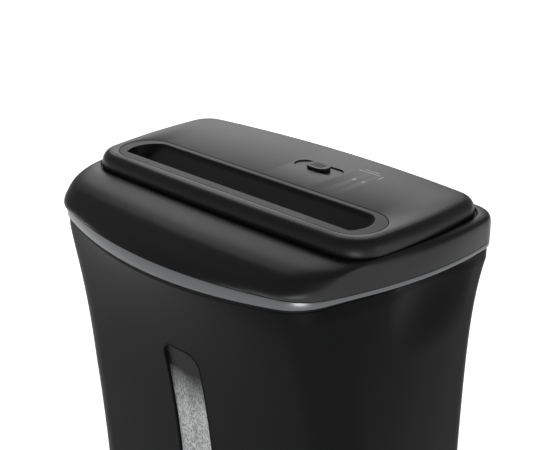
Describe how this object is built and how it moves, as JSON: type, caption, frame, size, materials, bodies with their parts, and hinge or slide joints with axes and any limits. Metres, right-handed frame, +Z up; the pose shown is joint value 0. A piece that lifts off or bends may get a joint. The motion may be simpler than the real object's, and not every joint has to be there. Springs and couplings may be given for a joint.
{
  "type": "paper shredder",
  "caption": "Deskside paper shredder: a motor-driven cutting head with an A4 entry that lifts off a tapered waste bin with a view window.",
  "frame": {"origin": "middle of the footprint at floor level", "axes": "+Z up, front towards -Y, +X to the right seen from the front"},
  "size_m": [0.32, 0.216, 0.382],
  "materials": {
    "bin_black": "fine moulded texture",
    "cover_black": "fine moulded texture",
    "bezel_black": "satin",
    "base_black": "moulded",
    "trim_grey": "satin grey lacquer",
    "smoked_pane": "stippled, smoked",
    "foot_rubber": "matte",
    "frame_steel": "zinc plated",
    "shaft_steel": "ground",
    "cutter_steel": "hardened, oiled",
    "spacer_plastic": "moulded",
    "bush_bronze": "sintered",
    "gear_nylon": "moulded nylon",
    "pinion_brass": "cut",
    "motor_steel": "rolled",
    "cap_alloy": "cast",
    "winding_copper": "lacquered wire and laminations",
    "dark_plastic": "moulded",
    "board_green": "solder mask",
    "part_mixed": "moulded component cases",
    "screw_zinc": "zinc plated",
    "lens_clear": "frosted light guide",
    "knob_grey": "fine texture",
    "lever_white": "moulded",
    "spring_steel": "drawn wire",
    "gland_rubber": "matte"
  },
  "bodies": {
    "bin": {"bin_shell": "bin_black", "bin_window": "smoked_pane", "bin_feet": "foot_rubber"},
    "head": {"top_cover": "cover_black", "trim_band": "trim_grey", "head_base": "base_black", "slot_bezel": "bezel_black", "housing_screws": "screw_zinc", "left_frame_plate": "frame_steel", "right_frame_plate": "frame_steel", "tie_rods": "shaft_steel", "shaft_bushes": "bush_bronze", "front_comb": "dark_plastic", "rear_comb": "dark_plastic", "gear_pins": "shaft_steel", "gear_posts": "shaft_steel", "gear_cover": "frame_steel", "gear_cover_screws": "screw_zinc", "motor_can": "motor_steel", "motor_front_cap": "cap_alloy", "motor_rear_cap": "dark_plastic", "motor_stator": "winding_copper", "motor_screws": "screw_zinc", "control_board": "board_green", "board_parts": "part_mixed", "board_posts": "gear_nylon", "board_screws": "screw_zinc", "cable_gland": "gland_rubber", "mode_switch_body": "dark_plastic", "indicator_lenses": "lens_clear", "lever_pin": "shaft_steel", "lever_bracket": "dark_plastic", "feed_switch": "dark_plastic", "plunger_spring": "spring_steel", "plunger_guide": "dark_plastic", "safety_switch": "dark_plastic"},
    "front_roller": {"front_shaft": "shaft_steel", "front_cutters": "cutter_steel", "front_spacers": "spacer_plastic", "front_timing_gear": "gear_nylon"},
    "rear_roller": {"rear_shaft": "shaft_steel", "rear_cutters": "cutter_steel", "rear_spacers": "spacer_plastic", "rear_timing_gear": "gear_nylon", "drive_gear": "gear_nylon"},
    "middle_stage": {"middle_gear": "gear_nylon"},
    "first_stage": {"first_gear": "gear_nylon"},
    "armature": {"motor_shaft": "shaft_steel", "motor_rotor": "motor_steel", "motor_pinion": "pinion_brass", "motor_fan": "dark_plastic"},
    "mode_slider": {"mode_knob": "knob_grey"},
    "paper_lever": {"feed_lever": "lever_white"},
    "interlock": {"safety_plunger": "lever_white"}
  },
  "joints": [
    {"name": "head_lift", "type": "slide", "parent": "bin", "child": "head", "axis": [0, 0, 1], "range_m": [0, 0.12]},
    {"name": "rear_roller_spin", "type": "hinge", "parent": "head", "child": "rear_roller", "pos_m": [0, -0.005, 0.329], "axis": [1, 0, 0], "continuous": true},
    {"name": "front_roller_spin", "type": "hinge", "parent": "head", "child": "front_roller", "pos_m": [0, -0.04, 0.329], "axis": [1, 0, 0], "continuous": true},
    {"name": "middle_spin", "type": "hinge", "parent": "head", "child": "middle_stage", "pos_m": [0, 0.03024, 0.34183], "axis": [1, 0, 0], "continuous": true},
    {"name": "first_spin", "type": "hinge", "parent": "head", "child": "first_stage", "pos_m": [0, 0.03451, 0.31213], "axis": [1, 0, 0], "continuous": true},
    {"name": "armature_spin", "type": "hinge", "parent": "head", "child": "armature", "pos_m": [0, 0.052, 0.334], "axis": [1, 0, 0], "continuous": true},
    {"name": "mode_slide", "type": "slide", "parent": "head", "child": "mode_slider", "axis": [1, 0, 0], "range_m": [-0.006, 0.006]},
    {"name": "paper_lever_swing", "type": "hinge", "parent": "head", "child": "paper_lever", "pos_m": [0, -0.012, 0.358], "axis": [1, 0, 0], "range_deg": [0, 30], "stiffness_Nm_per_rad": 0.002},
    {"name": "interlock_press", "type": "slide", "parent": "head", "child": "interlock", "axis": [0, 0, 1], "range_m": [0, 0.003], "stiffness_N_per_m": 250, "deforming": ["plunger_spring"]}
  ],
  "couplings": [
    {"joint": "front_roller_spin", "follows": "rear_roller_spin", "ratio": -1},
    {"joint": "middle_spin", "follows": "rear_roller_spin", "ratio": -4},
    {"joint": "first_spin", "follows": "rear_roller_spin", "ratio": 16},
    {"joint": "armature_spin", "follows": "rear_roller_spin", "ratio": -77.333}
  ]
}
